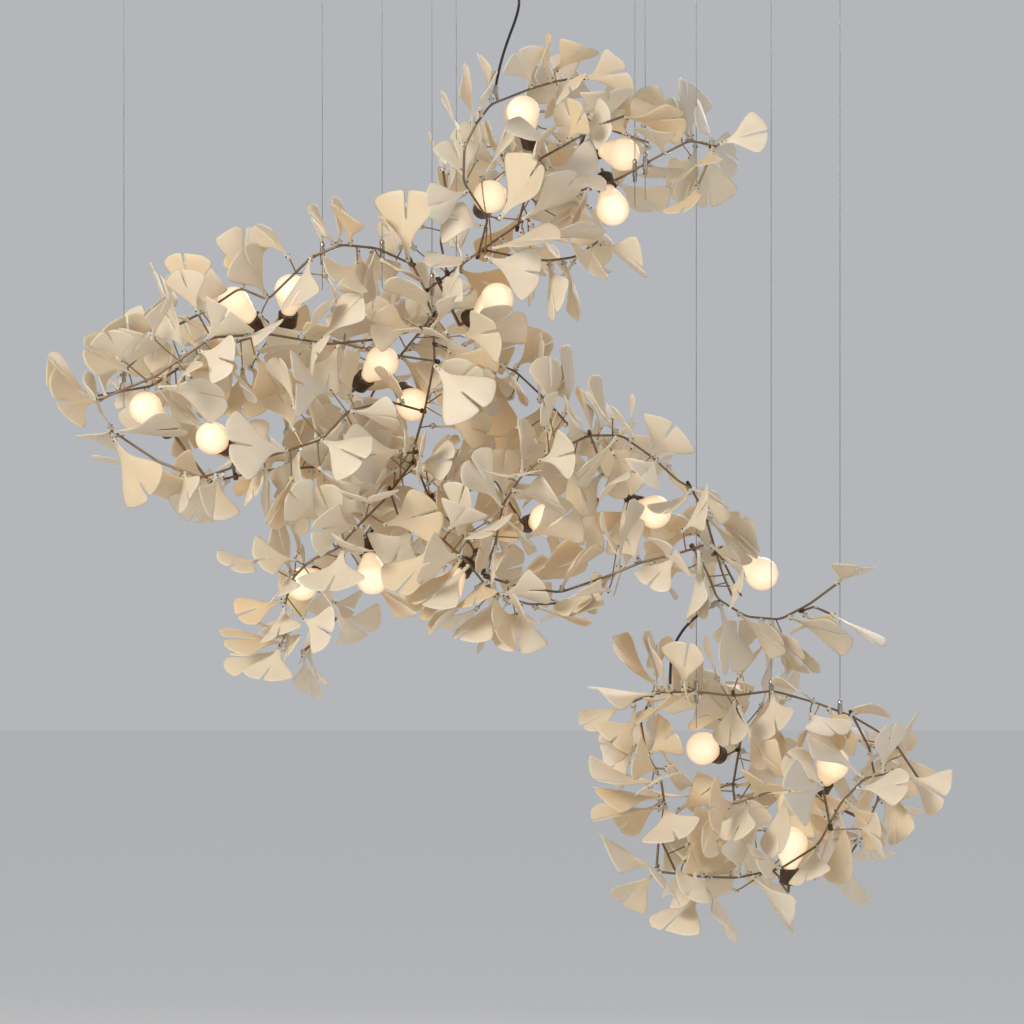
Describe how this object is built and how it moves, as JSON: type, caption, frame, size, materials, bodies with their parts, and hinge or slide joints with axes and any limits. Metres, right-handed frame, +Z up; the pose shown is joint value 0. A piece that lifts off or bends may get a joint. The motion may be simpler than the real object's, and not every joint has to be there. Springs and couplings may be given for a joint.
{
  "type": "chandelier",
  "caption": "Hanging chandelier of ginkgo-shaped porcelain leaves on dark curved rods with opal globe bulbs, held by thin steel cables, with a small round ceiling canopy.",
  "frame": {"origin": "centre of the ceiling plate's screw pattern on the ceiling plane", "axes": "+X to the right in the picture, +Y away from the viewer, +Z up"},
  "size_m": [1.6209, 0.5301, 1.7503],
  "materials": {
    "porcelain": "satin",
    "opal_glass": "opal, frosted",
    "dark_bronze_steel": "dark bronze, satin",
    "holder_metal": "satin",
    "cable_steel": "bright",
    "plated_brass": "nickel plated",
    "zinc_steel": "zinc plated",
    "cover_metal": "satin",
    "lead_jacket": "satin",
    "terminal_plastic": "matte"
  },
  "bodies": {
    "ceiling": {"ceiling_plate": "zinc_steel", "cover_studs": "zinc_steel", "terminal_block": "terminal_plastic", "ceiling_anchors": "plated_brass", "cables_upper": "cable_steel", "cables_lower": "cable_steel", "power_lead": "lead_jacket"},
    "cover": {"canopy_cover": "cover_metal", "cover_nuts": "plated_brass"},
    "upper_group": {"grippers_upper": "plated_brass", "lampholders_left": "holder_metal", "lampholders_right": "holder_metal", "lampholders_top": "holder_metal", "leaves_left_1": "porcelain", "leaves_left_2": "porcelain", "leaves_left_3": "porcelain", "leaves_right_1": "porcelain", "leaves_right_2": "porcelain", "leaves_right_3": "porcelain", "leaves_top_1": "porcelain", "leaves_top_2": "porcelain", "link_lead": "lead_jacket", "link_sleeve_upper": "plated_brass", "power_sleeve": "plated_brass", "rods_heart": "dark_bronze_steel", "rods_left": "dark_bronze_steel", "rods_right": "dark_bronze_steel", "rods_top": "dark_bronze_steel", "rods_trunk": "dark_bronze_steel", "twigs_left": "dark_bronze_steel", "twigs_right": "dark_bronze_steel", "twigs_top": "dark_bronze_steel"},
    "lower_group": {"grippers_lower": "plated_brass", "lampholders_pod": "holder_metal", "leaves_pod_1": "porcelain", "leaves_pod_2": "porcelain", "link_sleeve_lower": "plated_brass", "rods_pod": "dark_bronze_steel", "twigs_pod": "dark_bronze_steel"},
    "bulb_left_1": {"bulb_left_1": "opal_glass"},
    "bulb_left_2": {"bulb_left_2": "opal_glass"},
    "bulb_left_3": {"bulb_left_3": "opal_glass"},
    "bulb_left_4": {"bulb_left_4": "opal_glass"},
    "bulb_left_5": {"bulb_left_5": "opal_glass"},
    "bulb_left_6": {"bulb_left_6": "opal_glass"},
    "bulb_left_7": {"bulb_left_7": "opal_glass"},
    "bulb_left_8": {"bulb_left_8": "opal_glass"},
    "bulb_left_9": {"bulb_left_9": "opal_glass"},
    "bulb_pod_1": {"bulb_pod_1": "opal_glass"},
    "bulb_pod_2": {"bulb_pod_2": "opal_glass"},
    "bulb_pod_3": {"bulb_pod_3": "opal_glass"},
    "bulb_right_1": {"bulb_right_1": "opal_glass"},
    "bulb_right_2": {"bulb_right_2": "opal_glass"},
    "bulb_right_3": {"bulb_right_3": "opal_glass"},
    "bulb_right_4": {"bulb_right_4": "opal_glass"},
    "bulb_top_1": {"bulb_top_1": "opal_glass"},
    "bulb_top_2": {"bulb_top_2": "opal_glass"},
    "bulb_top_3": {"bulb_top_3": "opal_glass"},
    "bulb_top_4": {"bulb_top_4": "opal_glass"}
  },
  "joints": [
    {"name": "cover_drop", "type": "slide", "parent": "ceiling", "child": "cover", "axis": [0, 0, -1], "range_m": [0, 0.036]},
    {"name": "upper_height", "type": "slide", "parent": "ceiling", "child": "upper_group", "axis": [0, 0, 1], "range_m": [-0.03, 0.03], "deforming": ["power_lead"]},
    {"name": "lower_height", "type": "slide", "parent": "upper_group", "child": "lower_group", "axis": [0, 0, 1], "range_m": [-0.03, 0.03], "deforming": ["link_lead"]},
    {"name": "bulb_top_1_draw", "type": "slide", "parent": "upper_group", "child": "bulb_top_1", "axis": [-0.2102, -0.5781, 0.7884], "range_m": [0, 0.03]},
    {"name": "bulb_top_2_draw", "type": "slide", "parent": "upper_group", "child": "bulb_top_2", "axis": [0.8551, -0.4779, -0.2009], "range_m": [0, 0.03]},
    {"name": "bulb_top_3_draw", "type": "slide", "parent": "upper_group", "child": "bulb_top_3", "axis": [0.2051, -0.5339, -0.8203], "range_m": [0, 0.03]},
    {"name": "bulb_top_4_draw", "type": "slide", "parent": "upper_group", "child": "bulb_top_4", "axis": [0.2063, -0.9283, 0.3094], "range_m": [0, 0.03]},
    {"name": "bulb_left_1_draw", "type": "slide", "parent": "upper_group", "child": "bulb_left_1", "axis": [-0.5791, -0.5742, 0.5788], "range_m": [0, 0.03]},
    {"name": "bulb_left_2_draw", "type": "slide", "parent": "upper_group", "child": "bulb_left_2", "axis": [-0.3419, -0.9117, 0.2279], "range_m": [0, 0.03]},
    {"name": "bulb_left_3_draw", "type": "slide", "parent": "upper_group", "child": "bulb_left_3", "axis": [-0.7171, -0.3586, 0.5976], "range_m": [0, 0.03]},
    {"name": "bulb_left_4_draw", "type": "slide", "parent": "upper_group", "child": "bulb_left_4", "axis": [0.1054, -0.527, 0.8433], "range_m": [0, 0.03]},
    {"name": "bulb_left_5_draw", "type": "slide", "parent": "upper_group", "child": "bulb_left_5", "axis": [0.6108, -0.5449, 0.5745], "range_m": [0, 0.03]},
    {"name": "bulb_left_6_draw", "type": "slide", "parent": "upper_group", "child": "bulb_left_6", "axis": [0.254, -0.889, -0.381], "range_m": [0, 0.03]},
    {"name": "bulb_left_7_draw", "type": "slide", "parent": "upper_group", "child": "bulb_left_7", "axis": [0.7427, -0.4409, 0.504], "range_m": [0, 0.03]},
    {"name": "bulb_left_8_draw", "type": "slide", "parent": "upper_group", "child": "bulb_left_8", "axis": [-0.5976, -0.7171, -0.3586], "range_m": [0, 0.03]},
    {"name": "bulb_left_9_draw", "type": "slide", "parent": "upper_group", "child": "bulb_left_9", "axis": [0.1111, -0.4444, -0.8889], "range_m": [0, 0.03]},
    {"name": "bulb_right_1_draw", "type": "slide", "parent": "upper_group", "child": "bulb_right_1", "axis": [0.5661, -0.7926, -0.2265], "range_m": [0, 0.03]},
    {"name": "bulb_right_2_draw", "type": "slide", "parent": "upper_group", "child": "bulb_right_2", "axis": [0.8123, -0.2166, -0.5415], "range_m": [0, 0.03]},
    {"name": "bulb_right_3_draw", "type": "slide", "parent": "upper_group", "child": "bulb_right_3", "axis": [-0.5545, -0.4702, -0.6866], "range_m": [0, 0.03]},
    {"name": "bulb_right_4_draw", "type": "slide", "parent": "upper_group", "child": "bulb_right_4", "axis": [0.4444, -0.8889, 0.1111], "range_m": [0, 0.03]},
    {"name": "bulb_pod_1_draw", "type": "slide", "parent": "lower_group", "child": "bulb_pod_1", "axis": [-0.4414, -0.876, 0.1944], "range_m": [0, 0.03]},
    {"name": "bulb_pod_2_draw", "type": "slide", "parent": "lower_group", "child": "bulb_pod_2", "axis": [0.2963, -0.6468, 0.7028], "range_m": [0, 0.03]},
    {"name": "bulb_pod_3_draw", "type": "slide", "parent": "lower_group", "child": "bulb_pod_3", "axis": [0.0514, -0.2057, 0.9773], "range_m": [0, 0.03]}
  ]
}
